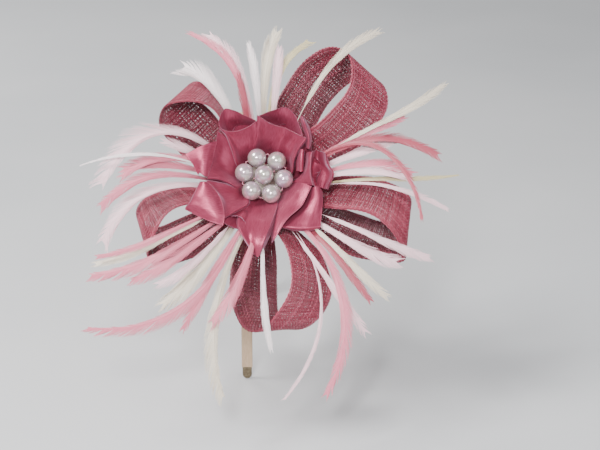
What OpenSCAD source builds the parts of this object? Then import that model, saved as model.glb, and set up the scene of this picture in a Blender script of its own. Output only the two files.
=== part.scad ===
// Fascinator headpiece: a ribbon rose with faux pearls, woven straw loops and feathers
// sewn to a felt pad on a sprung, satin-covered headband.
// Frame: millimetres, +Z up. The band lies in the XZ plane and its crown circle is centred
// on the origin. The wearer faces -Y and the trim sits on the +X side.

/* [Headband] */
// Inner radius of the crown arc
crown_r = 64; // [60:1:70]
// Half angle of the crown arc, from the top to each hinge
crown_half = 80; // [79:1:82]
// Inner radius of the two straighter arms
arm_r = 150; // [130:5:180]
// Angle that each arm sweeps
arm_sweep = 32.5; // [28:0.5:35]
// Width of the covered band
band_w = 6; // [5.6:0.1:7]
// Thickness of the covered band
band_t = 1.8; // [1.6:0.1:2.2]
// Width of the steel strip inside
core_w = 4; // [3.5:0.1:4.4]
// Thickness of the steel strip
core_t = 0.8; // [0.6:0.1:0.9]
// Gap left in the band at each hinge
hinge_gap = 0.6; // [0.5:0.1:0.9]
// Length of the rubber tip cap
cap_len = 8.8; // [7:0.2:11]

/* [Pad] */
// Angle of the pad from the top of the head
pad_angle = 55; // [50:1:58]
// How far the pad sits behind the band
pad_shift = 10; // [7:1:12]
// Diameter of the felt pad
pad_d = 44; // [40:1:46]
// Thickness of the felt
felt_t = 2; // [1.5:0.1:2.4]
// Thickness of the stiff base disc
base_t = 1; // [0.8:0.1:1.4]

/* [Straw loops] */
// Thickness of the folded straw cloth
straw_t = 0.8; // [0.6:0.1:1.1]
// Radius of the bundle of loop tails
tails_r = 12; // [11:0.5:12.5]

/* [Feathers] */
// Height of the feathers where they leave the bundle
quill_w = 13.6; // [13.4:0.1:13.8]
// How far the feathers climb to clear the loops
feather_rise = 36; // [35:0.5:39]
// Thickness of a feather vane
vane_t = 0.5; // [0.4:0.05:0.6]
// Spacing of the feather layers
layer_step = 1.3; // [1.2:0.05:1.4]

/* [Ribbon rose] */
// Radius of the ribbon rose
rose_r = 38; // [35:0.5:40]
// Thickness of a folded ribbon petal, measured upwards
petal_t = 1.5; // [1.2:0.1:1.8]
// Radius of the rolled ribbon core
core_r = 11; // [10.5:0.1:11.2]

/* [Pearls] */
// Diameter of each faux pearl
pearl_d = 10; // [9:0.1:10.2]
// Radius of the ring of six pearls
ring_r = 10.6; // [10.4:0.1:11]
// Height of the pearl ring above the band
ring_w = 33; // [32.6:0.1:34]
// Diameter of the drilled hole
drill_d = 1; // [0.8:0.1:1.4]
// Diameter of the thread
thread_d = 0.5; // [0.3:0.05:0.6]

/* [Hidden] */
$fn = 64;
slot_gap = 0.05;
band_out = crown_r + band_t;
arm_cx = (crown_r - arm_r) * sin(crown_half);
arm_cz = (crown_r - arm_r) * cos(crown_half);
crown_end = crown_half - hinge_gap / 2 / crown_r * 180 / PI;
arm_start = crown_half + hinge_gap / 2 / arm_r * 180 / PI;
arm_end = crown_half + arm_sweep;
cap_start = arm_end - cap_len / arm_r * 180 / PI;
steel_end = arm_end - 1.2 / arm_r * 180 / PI;
felt_in = band_out;
base_in = felt_in + felt_t;
hub_w = felt_t + base_t;
tails_top = 13;
tab_r0 = 6;
tab_r1 = 15;
root_r = 9;
layers = 4;
tab_h = (layers - 1) * layer_step + 1.4;
backing_w = tails_top + tab_h;
backing_t = 0.8;
rose_w = backing_w + backing_t;
pearl_seat = ring_w - pearl_d / 2;

STRAW = "rosybrown";

// ---------- placing helpers ----------

// Turns a solid of revolution about Z into one about Y, with its start at the top
module about_y() {
    rotate([0, -90, -90]) children();
}

// A flat bar bent round the Y axis, from angle a0 to a1 measured from +Z towards +X
module arc_bar(r0, r1, w, a0, a1) {
    about_y()
        rotate([0, 0, a0])
            rotate_extrude(angle = a1 - a0)
                translate([r0, -w / 2])
                    square([r1 - r0, w]);
}

// The same bar on the left arm's own centre
module arm_bar(r0, r1, w, a0, a1) {
    translate([arm_cx, 0, arm_cz]) arc_bar(r0, r1, w, a0, a1);
}

// Pad coordinates: x to the back of the head, y up the band, z outwards from the band
module on_pad() {
    rotate([0, pad_angle, 0])
        translate([0, pad_shift, band_out])
            rotate([0, 0, 90])
                children();
}

// ---------- headband ----------

module steel_arm() {
    mid = (band_t - core_t) / 2;
    arm_bar(arm_r + mid, arm_r + mid + core_t, core_w, arm_start, steel_end);
}

module cover_arm() {
    mid = (band_t - core_t) / 2 - slot_gap;
    difference() {
        arm_bar(arm_r, arm_r + band_t, band_w, arm_start, cap_start);
        arm_bar(arm_r + mid, arm_r + band_t - mid, core_w + 2 * slot_gap,
            arm_start - 1, cap_start + 1);
    }
}

module cap_arm() {
    mid = (band_t - core_t) / 2 - slot_gap;
    cap_w = core_w + 1;
    round_deg = cap_w / 2 / arm_r * 180 / PI;
    difference() {
        union() {
            arm_bar(arm_r - 0.1, arm_r + band_t + 0.1, cap_w, cap_start, arm_end - round_deg);
            intersection() {
                arm_bar(arm_r - 0.1, arm_r + band_t + 0.1, cap_w + 1, cap_start, arm_end);
                translate([arm_cx, 0, arm_cz])
                    rotate([0, arm_end - round_deg, 0])
                        cylinder(r = cap_w / 2, h = arm_r + 20);
            }
        }
        arm_bar(arm_r + mid, arm_r + band_t - mid, core_w + 2 * slot_gap,
            cap_start - 1, steel_end + 0.05);
    }
}

module spring_crown() {
    mid = (band_t - core_t) / 2;
    color("silver")
        arc_bar(crown_r + mid, crown_r + mid + core_t, core_w, -crown_end, crown_end);
}

module spring_left() {
    color("silver") steel_arm();
}

module spring_right() {
    color("silver") mirror([1, 0, 0]) steel_arm();
}

module cover_crown() {
    mid = (band_t - core_t) / 2 - slot_gap;
    color("tan")
        difference() {
            arc_bar(crown_r, band_out, band_w, -crown_end, crown_end);
            arc_bar(crown_r + mid, band_out - mid, core_w + 2 * slot_gap,
                -crown_half - 1, crown_half + 1);
        }
}

module cover_left() {
    color("tan") cover_arm();
}

module cover_right() {
    color("tan") mirror([1, 0, 0]) cover_arm();
}

module tip_cap_left() {
    color("olive") cap_arm();
}

module tip_cap_right() {
    color("olive") mirror([1, 0, 0]) cap_arm();
}

// ---------- pad and base ----------

// A curved disc of radius r lying on the band between two radii
module shell_disc(r0, r1, r) {
    intersection() {
        translate([0, pad_shift, 0])
            arc_bar(r0, r1, 4 * r, pad_angle - 45, pad_angle + 45);
        rotate([0, pad_angle, 0])
            translate([0, pad_shift, 0])
                cylinder(r = r, h = 2 * r1);
    }
}

module felt_pad() {
    color("mistyrose") shell_disc(felt_in, base_in, pad_d / 2);
}

module base_disc() {
    color(STRAW) shell_disc(base_in, base_in + base_t, pad_d / 2 + 1);
}

// Two hot-glue fillets in the corners between the band's edges and the felt
module glue_fillets() {
    leg = 1.4;
    reach = asin((pad_d / 2 - 3) / band_out);
    color("ivory")
        for (side = [0, 1])
            mirror([0, side, 0])
                about_y()
                    rotate([0, 0, pad_angle - reach])
                        rotate_extrude(angle = 2 * reach)
                            polygon([
                                [band_out, band_w / 2],
                                [band_out, band_w / 2 + leg],
                                [band_out - leg, band_w / 2]
                            ]);
}

// The tails of all five loops, gathered and bound with thread
module loop_tails() {
    color(STRAW)
        difference() {
            on_pad()
                union() {
                    cylinder(r = tails_r, h = tails_top);
                    translate([0, 0, tails_top - 3]) cylinder(r = tails_r, h = 0.6);
                }
            translate([0, pad_shift, 0])
                arc_bar(10, base_in + base_t, 4 * tails_r, pad_angle - 60, pad_angle + 60);
        }
}

// ---------- straw loops ----------

// A teardrop outline: root at x = root, round end of radius h reaching x = reach
module teardrop(root, reach, h) {
    centre = reach - h;
    half = asin(h / (centre - root));
    run = (centre - root) * cos(half);
    translate([centre, 0]) circle(r = h);
    polygon([
        [root, 0],
        [root + run * cos(half), -run * sin(half)],
        [centre, 0],
        [root + run * cos(half), run * sin(half)]
    ]);
}

// One loop of straw strip. angle is its direction on the pad, tilt turns it about that line
module straw_loop(angle, reach, w, h, tilt, mid_w) {
    root_w = 8.6;
    run = reach - h - tails_r;
    climb = atan((mid_w - root_w) / run);
    long = run / cos(climb) + h;
    half = asin(h / (long - h));
    color(STRAW)
        on_pad()
            rotate([0, 0, angle])
                translate([tails_r, 0, root_w])
                    rotate([0, -climb, 0])
                        rotate([90 + tilt, 0, 0])
                            intersection() {
                                translate([0, 0, -w / 2])
                                    linear_extrude(w)
                                        difference() {
                                            teardrop(0, long, h);
                                            teardrop(straw_t / sin(half), long - straw_t,
                                                h - straw_t);
                                        }
                                rotate([90, 0, 0])
                                    translate([0, 0, -h - 1])
                                        linear_extrude(2 * h + 2)
                                            polygon([
                                                [0.3, -2.5], [28, -w / 2], [long + 1, -w / 2],
                                                [long + 1, w / 2], [28, w / 2], [0.3, 2.5]
                                            ]);
                            }
}

module loop_top_front() {
    straw_loop(133, 67, 28, 13.5, 46, 20.5);
}

module loop_top_back() {
    straw_loop(49, 82, 30, 17.5, 52, 22.5);
}

module loop_back() {
    straw_loop(-19, 84, 30, 13.5, -50, 22.5);
}

module loop_bottom() {
    straw_loop(-80, 83, 30, 20, -52, 22.5);
}

module loop_front() {
    straw_loop(204, 71, 28, 13.5, 50, 21.5);
}

// ---------- feathers ----------

// Height of the feather layers above the band, at a distance r from the rose's centre
function fan_w(r) =
    quill_w + feather_rise * (1 - pow(max(0, 1 - max(0, r - 12) / 52), 1.7));

// Direction of a feather at t, from its root, middle and tip directions
function sway(a0, am, a1, t) =
    a0 * (1 - t) * (1 - 2 * t) + am * 4 * t * (1 - t) + a1 * t * (2 * t - 1);

// A point on the feather's quill at t
function quill(f, t) =
    let (r = root_r + (f[3] - root_r) * t, a = sway(f[0], f[1], f[2], t))
    [r * cos(a), r * sin(a), fan_w(r) + f[5] * layer_step - f[6] * pow(t, 4)];

// Half width of the vane at t: a bare quill, a full vane, then a taper
function vane(f, t) =
    t < 0.3 ? 0.5 + (f[4] / 2 - 0.5) * max(0, t - 0.1) / 0.2
    : t < 0.7 ? f[4] / 2
    : f[4] / 2 - (f[4] / 2 - 0.4) * (t - 0.7) / 0.3;

// The four corners of the vane's section at t
function section(f, t) =
    let (
        p = quill(f, t),
        q = quill(f, t + 0.02) - quill(f, t - 0.02),
        n = [-q[1], q[0]] / norm([q[0], q[1]]),
        v = vane(f, t)
    )
    [
        [p[0] - v * n[0], p[1] - v * n[1], p[2]],
        [p[0] + v * n[0], p[1] + v * n[1], p[2]],
        [p[0] + v * n[0], p[1] + v * n[1], p[2] + vane_t],
        [p[0] - v * n[0], p[1] - v * n[1], p[2] + vane_t]
    ];

// Each feather is [root, middle and tip directions, reach, vane width, layer, tip drop]
module feather(f) {
    steps = 12;
    flat = (tails_r - root_r) / (f[3] - root_r);
    shares = [0, for (i = [0:steps - 1]) flat + (1 - flat) * i / (steps - 1)];
    pts = [for (t = shares, c = section(f, t)) c];
    sides = [for (i = [0:steps - 1], k = [0:3])
        [4 * i + k, 4 * i + (k + 1) % 4, 4 * i + 4 + (k + 1) % 4, 4 * i + 4 + k]];
    split = [for (s = sides, h = [0, 1]) h == 0 ? [s[0], s[2], s[1]] : [s[0], s[3], s[2]]];
    last = 4 * steps;
    ends = [[0, 1, 2], [0, 2, 3], [last, last + 2, last + 1], [last, last + 3, last + 2]];
    polyhedron(points = pts, faces = concat(split, ends));
}

// A bunch of feathers, with the quills bound in a tab that spans a0 to a1
module bunch(shade, a0, a1, feathers) {
    color(shade)
        on_pad() {
            translate([0, 0, tails_top])
                rotate([0, 0, a0])
                    rotate_extrude(angle = a1 - a0)
                        translate([tab_r0, 0])
                            square([tab_r1 - tab_r0, tab_h]);
            for (f = feathers) feather(f);
        }
}

module feathers_top() {
    bunch("pink", 76, 96, [
        [93, 94, 96, 69, 4.5, 1, 3],
        [89, 89, 84, 76, 6, 0, 3],
        [85, 83, 71, 74, 4, 2, 4],
        [80, 81, 82, 65, 5, 3, 2]
    ]);
}

module feathers_top_front() {
    bunch("pink", 97, 124, [
        [104, 104, 117, 85, 4.5, 1, 5],
        [100, 102, 110, 80, 6, 0, 5],
        [118, 118, 126, 70, 7, 0, 3],
        [109, 106, 104, 52, 4, 2, 0]
    ]);
}

module feathers_top_back() {
    bunch("ivory", 46, 66, [[56, 58, 51, 100, 6, 0, 9]]);
}

module feathers_back_upper() {
    bunch("pink", 4, 26, [
        [18, 20, 26, 108, 5.5, 1, 10],
        [13, 15, 4, 91, 5, 2, 5],
        [9, 15, -21, 86, 3, 3, 0],
        [7, 9, 12, 70, 6, 0, 2],
        [22, 19, 20, 79, 4, 0, 3]
    ]);
}

module feathers_back() {
    bunch("mistyrose", -16, 3, [
        [0, 2, -3, 77, 5, 1, 4],
        [-5, -3, -5, 76, 4.5, 2, 4],
        [-9, -7, -2, 102, 3, 0, 8],
        [-13, -10, -13, 98, 3, 1, 10]
    ]);
}

module feathers_low_back() {
    bunch("mistyrose", -57, -37, [
        [-40, -36, -29, 97, 5, 0, 10],
        [-45, -45, -37, 84, 7, 1, 6],
        [-50, -51, -48, 92, 5.5, 2, 9],
        [-54, -53, -53, 88, 4.5, 0, 7]
    ]);
}

module feathers_bottom_back() {
    bunch("pink", -72, -58, [
        [-69, -64, -60, 100, 5, 1, 9],
        [-61, -59, -76, 122, 5.5, 3, 14],
        [-65, -66, -86, 120, 2.5, 0, 16]
    ]);
}

module feathers_bottom() {
    bunch("mistyrose", -102, -86, [
        [-91, -92, -89, 95, 5, 1, 8],
        [-98, -101, -109, 86, 5.5, 2, 3]
    ]);
}

module feathers_bottom_front() {
    bunch("ivory", -119, -103, [
        [-106, -110, -101, 120, 5.5, 0, 14],
        [-116, -115, -138, 123, 5, 3, 12],
        [-112, -115, -117, 94, 5, 1, 8]
    ]);
}

module feathers_low_front() {
    bunch("mistyrose", -131, -120, [
        [-128, -124, -132, 82, 6, 1, 5],
        [-123, -121, -127, 88, 8, 0, 8],
        [-128, -131, -140, 90, 5.5, 2, 9]
    ]);
}

module feathers_front_low() {
    bunch("pink", -150, -132, [
        [-141, -143, -151, 100, 5.5, 0, 9],
        [-135, -137, -149, 105, 5, 1, 12],
        [-146, -148, -153, 98, 3, 2, 7]
    ]);
}

module feathers_front_lower() {
    bunch("mistyrose", 183, 198, [
        [186, 183, 192, 87, 5, 1, 7],
        [192, 190, 203, 92, 7, 0, 10]
    ]);
}

module feathers_front() {
    bunch("mistyrose", 166, 182, [
        [169, 171, 183, 74, 5, 2, 5],
        [176, 176, 179, 73, 6, 0, 4],
        [173, 173, 178, 96, 2, 3, 9]
    ]);
}

module feathers_front_upper() {
    bunch("ivory", 149, 165, [
        [154, 155, 184, 85, 7, 1, 9],
        [161, 162, 164, 54, 5, 0, 0]
    ]);
}

// ---------- ribbon rose ----------

module rose_backing() {
    color("ivory")
        on_pad()
            translate([0, 0, backing_w])
                cylinder(r = core_r + 0.5, h = backing_t);
}

// The ribbon's gathered middle, rolled tight under the pearls
module rose_core() {
    color("palevioletred")
        on_pad()
            translate([0, 0, rose_w])
                cylinder(r1 = core_r - 0.6, r2 = core_r - 2, h = pearl_seat - rose_w);
}

// A folded petal between two directions: it climbs to a ridge, rolls over and comes down
module petal(a0, a1, reach, lift) {
    line = [
        [core_r - 0.4, rose_w], [13.2, 24.5], [15.6, 29], [17.6, 33.5], [20.6, 39], [24.6, 43.6],
        [29, 45.8], [33, 45.6], [36, 44.4], [38, 42.6]
    ];
    k = (reach - core_r) / (38 - core_r);
    mid = [for (p = line) [core_r + (p[0] - core_r) * (p[0] > 18 ? 1 + (k - 1) * (p[0] - 18) / 20 : 1),
        p[1] + lift * max(0, p[1] - 30) / 15]];
    n = len(mid);
    gap = 0.8;
    color("palevioletred")
        on_pad()
            rotate([0, 0, a0 + gap])
                rotate_extrude(angle = a1 - a0 - 2 * gap)
                    polygon(concat(
                        [for (p = mid) [p[0], p[1]]],
                        [for (i = [n - 1:-1:0]) [mid[i][0], mid[i][1] + petal_t]]
                    ));
}

module petal_top() {
    petal(70, 110, rose_r - 1, 0);
}

module petal_top_front() {
    petal(110, 158, rose_r - 2, 1);
}

module petal_front() {
    petal(158, 192, rose_r + 1, 1.5);
}

module petal_low_front() {
    petal(192, 240, rose_r + 2, 1.5);
}

module petal_bottom() {
    petal(240, 290, rose_r, 0.6);
}

module petal_low_back() {
    petal(290, 348, rose_r - 4, 1.4);
}

module petal_back() {
    petal(348, 402, rose_r - 1, 1);
}

module petal_top_back() {
    petal(42, 70, rose_r - 2, 0.5);
}

// ---------- pearls ----------

// A drilled bead, with its hole along x
module bead() {
    color("lavenderblush")
        difference() {
            sphere(d = pearl_d);
            rotate([0, 90, 0])
                cylinder(d = drill_d, h = 2 * pearl_d, center = true);
        }
}

module ring_pearl(i) {
    on_pad()
        rotate([0, 0, 50 + 60 * i])
            translate([ring_r, 0, ring_w])
                rotate([0, 0, 90])
                    bead();
}

module pearl_centre() {
    on_pad()
        translate([0, 0, ring_w + 2])
            rotate([0, 0, 20])
                bead();
}

module pearl_1() {
    ring_pearl(0);
}

module pearl_2() {
    ring_pearl(1);
}

module pearl_3() {
    ring_pearl(2);
}

module pearl_4() {
    ring_pearl(3);
}

module pearl_5() {
    ring_pearl(4);
}

module pearl_6() {
    ring_pearl(5);
}

// The thread runs through the six ring pearls, and through the middle one and down
module pearl_thread() {
    corner = ring_r / cos(30);
    knot_d = thread_d * 1.5;
    inset = thread_d * 0.4;
    stitch_x = pearl_d / 2 + 0.7;
    color("white")
        on_pad()
            union() {
                for (i = [0:5]) {
                    rotate([0, 0, 50 + 60 * i])
                        translate([ring_r, 0, ring_w])
                            rotate([90, 0, 0])
                                cylinder(d = thread_d, h = corner - 2 * inset, center = true);
                    rotate([0, 0, 80 + 60 * i])
                        translate([corner, 0, ring_w])
                            sphere(d = knot_d);
                }
                rotate([0, 0, 20]) {
                    translate([0, 0, ring_w + 2])
                        rotate([0, 90, 0])
                            cylinder(d = thread_d, h = 2 * (stitch_x - inset), center = true);
                    for (s = [-1, 1])
                        translate([s * stitch_x, 0, 0]) {
                            translate([0, 0, pearl_seat])
                                cylinder(d = thread_d, h = pearl_d / 2 + 2 - inset);
                            translate([0, 0, ring_w + 2]) sphere(d = knot_d);
                        }
                }
            }
}

spring_crown();
spring_left();
spring_right();
cover_crown();
cover_left();
cover_right();
tip_cap_left();
tip_cap_right();
felt_pad();
glue_fillets();
base_disc();
loop_tails();
loop_top_front();
loop_top_back();
loop_back();
loop_bottom();
loop_front();
feathers_top();
feathers_top_front();
feathers_top_back();
feathers_back_upper();
feathers_back();
feathers_low_back();
feathers_bottom_back();
feathers_bottom();
feathers_bottom_front();
feathers_low_front();
feathers_front_low();
feathers_front_lower();
feathers_front();
feathers_front_upper();
rose_backing();
rose_core();
petal_top();
petal_top_front();
petal_front();
petal_low_front();
petal_bottom();
petal_low_back();
petal_back();
petal_top_back();
pearl_centre();
pearl_1();
pearl_2();
pearl_3();
pearl_4();
pearl_5();
pearl_6();
pearl_thread();
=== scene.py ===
"""Looks of the fascinator headpiece: feathers, woven straw loops, ribbon rose, pearls and band.

Most shapes are written in pad coordinates, in millimetres: x to the back of the head,
y up the band, w outwards from the band. world() turns them into the row frame, in metres.
"""

import math

import bpy
import numpy as np
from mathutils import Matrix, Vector

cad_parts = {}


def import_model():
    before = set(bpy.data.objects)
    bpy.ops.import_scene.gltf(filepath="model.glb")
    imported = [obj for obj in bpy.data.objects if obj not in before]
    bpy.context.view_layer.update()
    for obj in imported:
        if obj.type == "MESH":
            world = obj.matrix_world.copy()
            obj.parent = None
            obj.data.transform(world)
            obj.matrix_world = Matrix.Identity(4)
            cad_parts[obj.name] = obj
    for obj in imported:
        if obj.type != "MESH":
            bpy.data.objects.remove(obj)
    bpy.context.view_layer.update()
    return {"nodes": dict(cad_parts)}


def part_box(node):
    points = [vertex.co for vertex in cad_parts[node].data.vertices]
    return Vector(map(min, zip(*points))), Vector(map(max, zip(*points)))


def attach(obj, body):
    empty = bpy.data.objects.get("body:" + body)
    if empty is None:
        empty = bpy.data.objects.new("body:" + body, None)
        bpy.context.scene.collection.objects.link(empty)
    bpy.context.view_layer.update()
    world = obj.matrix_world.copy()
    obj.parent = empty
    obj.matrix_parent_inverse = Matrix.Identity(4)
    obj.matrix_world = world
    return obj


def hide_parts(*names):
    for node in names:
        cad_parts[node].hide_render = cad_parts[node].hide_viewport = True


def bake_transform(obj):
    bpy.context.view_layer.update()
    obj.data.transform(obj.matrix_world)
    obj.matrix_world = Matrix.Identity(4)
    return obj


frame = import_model()

PAD_ANGLE = math.radians(55)
PAD_SHIFT = 10.0
CROWN_R = 64.0
BAND_T = 1.8
BAND_OUT = CROWN_R + BAND_T
CROWN_HALF = math.radians(80)
ARM_R = 150.0
ARM_SWEEP = math.radians(32.5)
CAP_LEN = 8.8
TAILS_R = 12.0
rng = np.random.default_rng(7)


def world(v):
    """Pad coordinates in mm to the row frame in metres."""
    v = np.asarray(v, float)
    x, y, z = -v[..., 1], v[..., 0] + PAD_SHIFT, v[..., 2] + BAND_OUT
    c, s = math.cos(PAD_ANGLE), math.sin(PAD_ANGLE)
    return np.stack([x * c + z * s, y, -x * s + z * c], -1) / 1000


def unit(v):
    v = np.asarray(v, float)
    return v / np.maximum(np.linalg.norm(v, axis=-1, keepdims=True), 1e-9)


# ---------- meshes ----------


class Builder:
    """Gathers points, quads, a material number per quad and a UV per point."""

    def __init__(self):
        self.points, self.quads, self.mats, self.uvs, self.count = [], [], [], [], 0

    def add(self, points, quads, mat=0, uv=None):
        points = np.asarray(points, float).reshape(-1, 3)
        quads = np.asarray(quads, int).reshape(-1, 4)
        self.points.append(points)
        self.quads.append(quads + self.count)
        self.mats.append(np.full(len(quads), mat) if np.isscalar(mat) else np.asarray(mat))
        self.uvs.append(np.zeros((len(points), 2)) if uv is None else np.asarray(uv).reshape(-1, 2))
        self.count += len(points)

    def make(self, name, materials, space=world):
        points = space(np.concatenate(self.points))
        quads = np.concatenate(self.quads)
        mesh = bpy.data.meshes.new(name)
        mesh.vertices.add(len(points))
        mesh.vertices.foreach_set("co", points.astype(np.float32).ravel())
        mesh.loops.add(quads.size)
        mesh.loops.foreach_set("vertex_index", quads.astype(np.int32).ravel())
        mesh.polygons.add(len(quads))
        mesh.polygons.foreach_set("loop_start", np.arange(0, quads.size, 4, dtype=np.int32))
        for m in materials:
            mesh.materials.append(m)
        mesh.polygons.foreach_set("material_index", np.concatenate(self.mats).astype(np.int32))
        mesh.polygons.foreach_set("use_smooth", np.full(len(quads), True))
        layer = mesh.uv_layers.new(name="UVMap")
        uv = np.concatenate(self.uvs)[quads.ravel()]
        layer.data.foreach_set("uv", uv.astype(np.float32).ravel())
        mesh.update(calc_edges=True)
        obj = bpy.data.objects.new(name, mesh)
        bpy.context.collection.objects.link(obj)
        return obj


def metres(v):
    """Row-frame millimetres to metres."""
    return np.asarray(v, float) / 1000


def grid_quads(rows, cols, wrap=False):
    """Quads of a rows by cols grid of points. wrap joins the last column to the first."""
    r = np.arange(rows - 1)[:, None]
    c = np.arange(cols if wrap else cols - 1)[None, :]
    d = (c + 1) % cols
    return np.stack([r * cols + c, r * cols + d, (r + 1) * cols + d, (r + 1) * cols + c], -1).reshape(-1, 4)


def tube(b, path, radius, mat=0, sides=6):
    """A tube along path. radius is one number or one per point."""
    path = np.asarray(path, float)
    tangent = unit(np.gradient(path, axis=0))
    side = unit(np.cross(tangent, (0, 0, 1)))
    over = unit(np.cross(side, tangent))
    radius = np.broadcast_to(radius, len(path))
    a = np.linspace(0, 2 * math.pi, sides, endpoint=False)
    ring = path[:, None] + radius[:, None, None] * (
        np.cos(a)[None, :, None] * side[:, None] + np.sin(a)[None, :, None] * over[:, None]
    )
    b.add(ring, grid_quads(len(path), sides, wrap=True), mat)


def spline(points, steps):
    """A Catmull-Rom curve through the rows of points, with steps samples a span."""
    p = np.asarray(points, float)
    p = np.concatenate([2 * p[:1] - p[1:2], p, 2 * p[-1:] - p[-2:-1]])
    out = []
    for i in range(1, len(p) - 2):
        for t in np.linspace(0, 1, steps, endpoint=False):
            a, c, d, e = p[i - 1], p[i], p[i + 1], p[i + 2]
            square = (2 * a - 5 * c + 4 * d - e) * t**2
            cube = (3 * c - a - 3 * d + e) * t**3
            out.append(0.5 * (2 * c + (d - a) * t + square + cube))
    return np.array([*out, p[-2]])


# ---------- materials ----------


def srgb(r, g, b):
    """A colour given as 0 to 255 screen values, as linear RGBA."""
    lin = [(v / 255 / 12.92 if v <= 10 else ((v / 255 + 0.055) / 1.055) ** 2.4) for v in (r, g, b)]
    return (*lin, 1.0)


def plain(name, colour, rough=0.5, sheen=0.0, specular=0.5, metal=0.0, coat=0.0):
    m = bpy.data.materials.new(name)
    m.use_nodes = True
    p = m.node_tree.nodes["Principled BSDF"]
    p.inputs["Base Color"].default_value = colour
    p.inputs["Roughness"].default_value = rough
    p.inputs["Metallic"].default_value = metal
    p.inputs["Specular IOR Level"].default_value = specular
    p.inputs["Sheen Weight"].default_value = sheen
    p.inputs["Sheen Roughness"].default_value = 0.4
    p.inputs["Coat Weight"].default_value = coat
    p.inputs["Coat Roughness"].default_value = 0.04
    return m


def add_noise(m, scale, dark, light, bump=0.0, bump_scale=0.0, stretch=(1, 1, 1)):
    """Mottles a material's colour between two tones and roughens its surface."""
    t = m.node_tree
    p = t.nodes["Principled BSDF"]
    where = t.nodes.new("ShaderNodeTexCoord")
    place = t.nodes.new("ShaderNodeMapping")
    place.inputs["Scale"].default_value = stretch
    noise = t.nodes.new("ShaderNodeTexNoise")
    noise.inputs["Scale"].default_value = scale
    noise.inputs["Detail"].default_value = 4.0
    ramp = t.nodes.new("ShaderNodeValToRGB")
    ramp.color_ramp.elements[0].position = 0.35
    ramp.color_ramp.elements[0].color = dark
    ramp.color_ramp.elements[1].position = 0.65
    ramp.color_ramp.elements[1].color = light
    t.links.new(where.outputs["Object"], place.inputs["Vector"])
    t.links.new(place.outputs["Vector"], noise.inputs["Vector"])
    t.links.new(noise.outputs["Fac"], ramp.inputs["Fac"])
    t.links.new(ramp.outputs["Color"], p.inputs["Base Color"])
    if bump:
        fine = t.nodes.new("ShaderNodeTexNoise")
        fine.inputs["Scale"].default_value = bump_scale
        fine.inputs["Detail"].default_value = 3.0
        raise_ = t.nodes.new("ShaderNodeBump")
        raise_.inputs["Strength"].default_value = bump
        raise_.inputs["Distance"].default_value = 0.0003
        t.links.new(place.outputs["Vector"], fine.inputs["Vector"])
        t.links.new(fine.outputs["Fac"], raise_.inputs["Height"])
        t.links.new(raise_.outputs["Normal"], p.inputs["Normal"])
    return m


def satin(name, dark, light, sheen_tint, rough, sheen):
    """Ribbon satin: a fine rib across the ribbon, on UVs in millimetres, and a soft sheen. The rib's streaks
    between the dark and light tones are partly the weave's grain and partly painted sheen.
    """
    m = plain(name, light, rough=rough, sheen=sheen, specular=0.55)
    t = m.node_tree
    p = t.nodes["Principled BSDF"]
    p.inputs["Sheen Tint"].default_value = sheen_tint
    p.inputs["Sheen Roughness"].default_value = 0.35
    p.inputs["Anisotropic"].default_value = 0.55
    p.inputs["Specular Tint"].default_value = sheen_tint
    where = t.nodes.new("ShaderNodeTexCoord")
    place = t.nodes.new("ShaderNodeMapping")
    place.inputs["Scale"].default_value = (0.25, 5.0, 1.0)
    noise = t.nodes.new("ShaderNodeTexNoise")
    noise.inputs["Scale"].default_value = 1.0
    noise.inputs["Detail"].default_value = 3.0
    # The ramp between the dark and light tones is partly grain and partly painted sheen speckle.
    ramp = t.nodes.new("ShaderNodeValToRGB")
    ramp.color_ramp.elements[0].position = 0.3
    ramp.color_ramp.elements[0].color = dark
    ramp.color_ramp.elements[1].position = 0.7
    ramp.color_ramp.elements[1].color = light
    bump = t.nodes.new("ShaderNodeBump")
    bump.inputs["Strength"].default_value = 0.3
    bump.inputs["Distance"].default_value = 0.0002
    t.links.new(where.outputs["UV"], place.inputs["Vector"])
    t.links.new(place.outputs["Vector"], noise.inputs["Vector"])
    t.links.new(noise.outputs["Fac"], ramp.inputs["Fac"])
    t.links.new(ramp.outputs["Color"], p.inputs["Base Color"])
    t.links.new(noise.outputs["Fac"], bump.inputs["Height"])
    t.links.new(bump.outputs["Normal"], p.inputs["Normal"])
    return m


# The dark and light rib tones of the satins are partly grain and partly painted sheen.
SATIN = satin("satin_rose", srgb(122, 38, 58), srgb(166, 74, 98), srgb(242, 188, 218), rough=0.36, sheen=0.4)
SATIN.node_tree.nodes["Principled BSDF"].inputs["Metallic"].default_value = 0.45
SATIN_EDGE = plain("satin_selvedge", srgb(150, 62, 88), rough=0.45, sheen=0.3)
STRAW = [
    plain("straw_mid", srgb(154, 52, 74), rough=0.42, sheen=0.15),
    plain("straw_light", srgb(186, 86, 108), rough=0.36, sheen=0.15),
    plain("straw_dark", srgb(134, 42, 62), rough=0.5, sheen=0.1),
]
TONES = {
    "ivory": (210, 198, 180),
    "white": (224, 212, 213),
    "pale": (228, 192, 199),
    "mid": (206, 114, 133),
    "dusky": (166, 72, 88),
    "olive": (186, 174, 136),
}
FEATHER = {
    k: [
        plain(f"feather_{k}_{i}", srgb(*(min(255, round(c * f)) for c in v)), rough=0.5, sheen=0.3)
        for i, f in enumerate((1.0, 0.96, 1.03))
    ]
    for k, v in TONES.items()
}
BAND_SATIN = satin(
    "band_satin", srgb(190, 162, 134), srgb(208, 182, 154), srgb(250, 236, 215), rough=0.38, sheen=0.3
)
CAP = add_noise(
    plain("cap_rubber", srgb(112, 98, 74), rough=0.55),
    900, srgb(92, 78, 56), srgb(132, 118, 92), bump=0.5, bump_scale=2500,
)
FELT = add_noise(
    plain("felt", srgb(205, 150, 158), rough=0.95, sheen=0.6),
    600, srgb(188, 128, 138), srgb(214, 160, 168), bump=0.6, bump_scale=2600,
)
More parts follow.
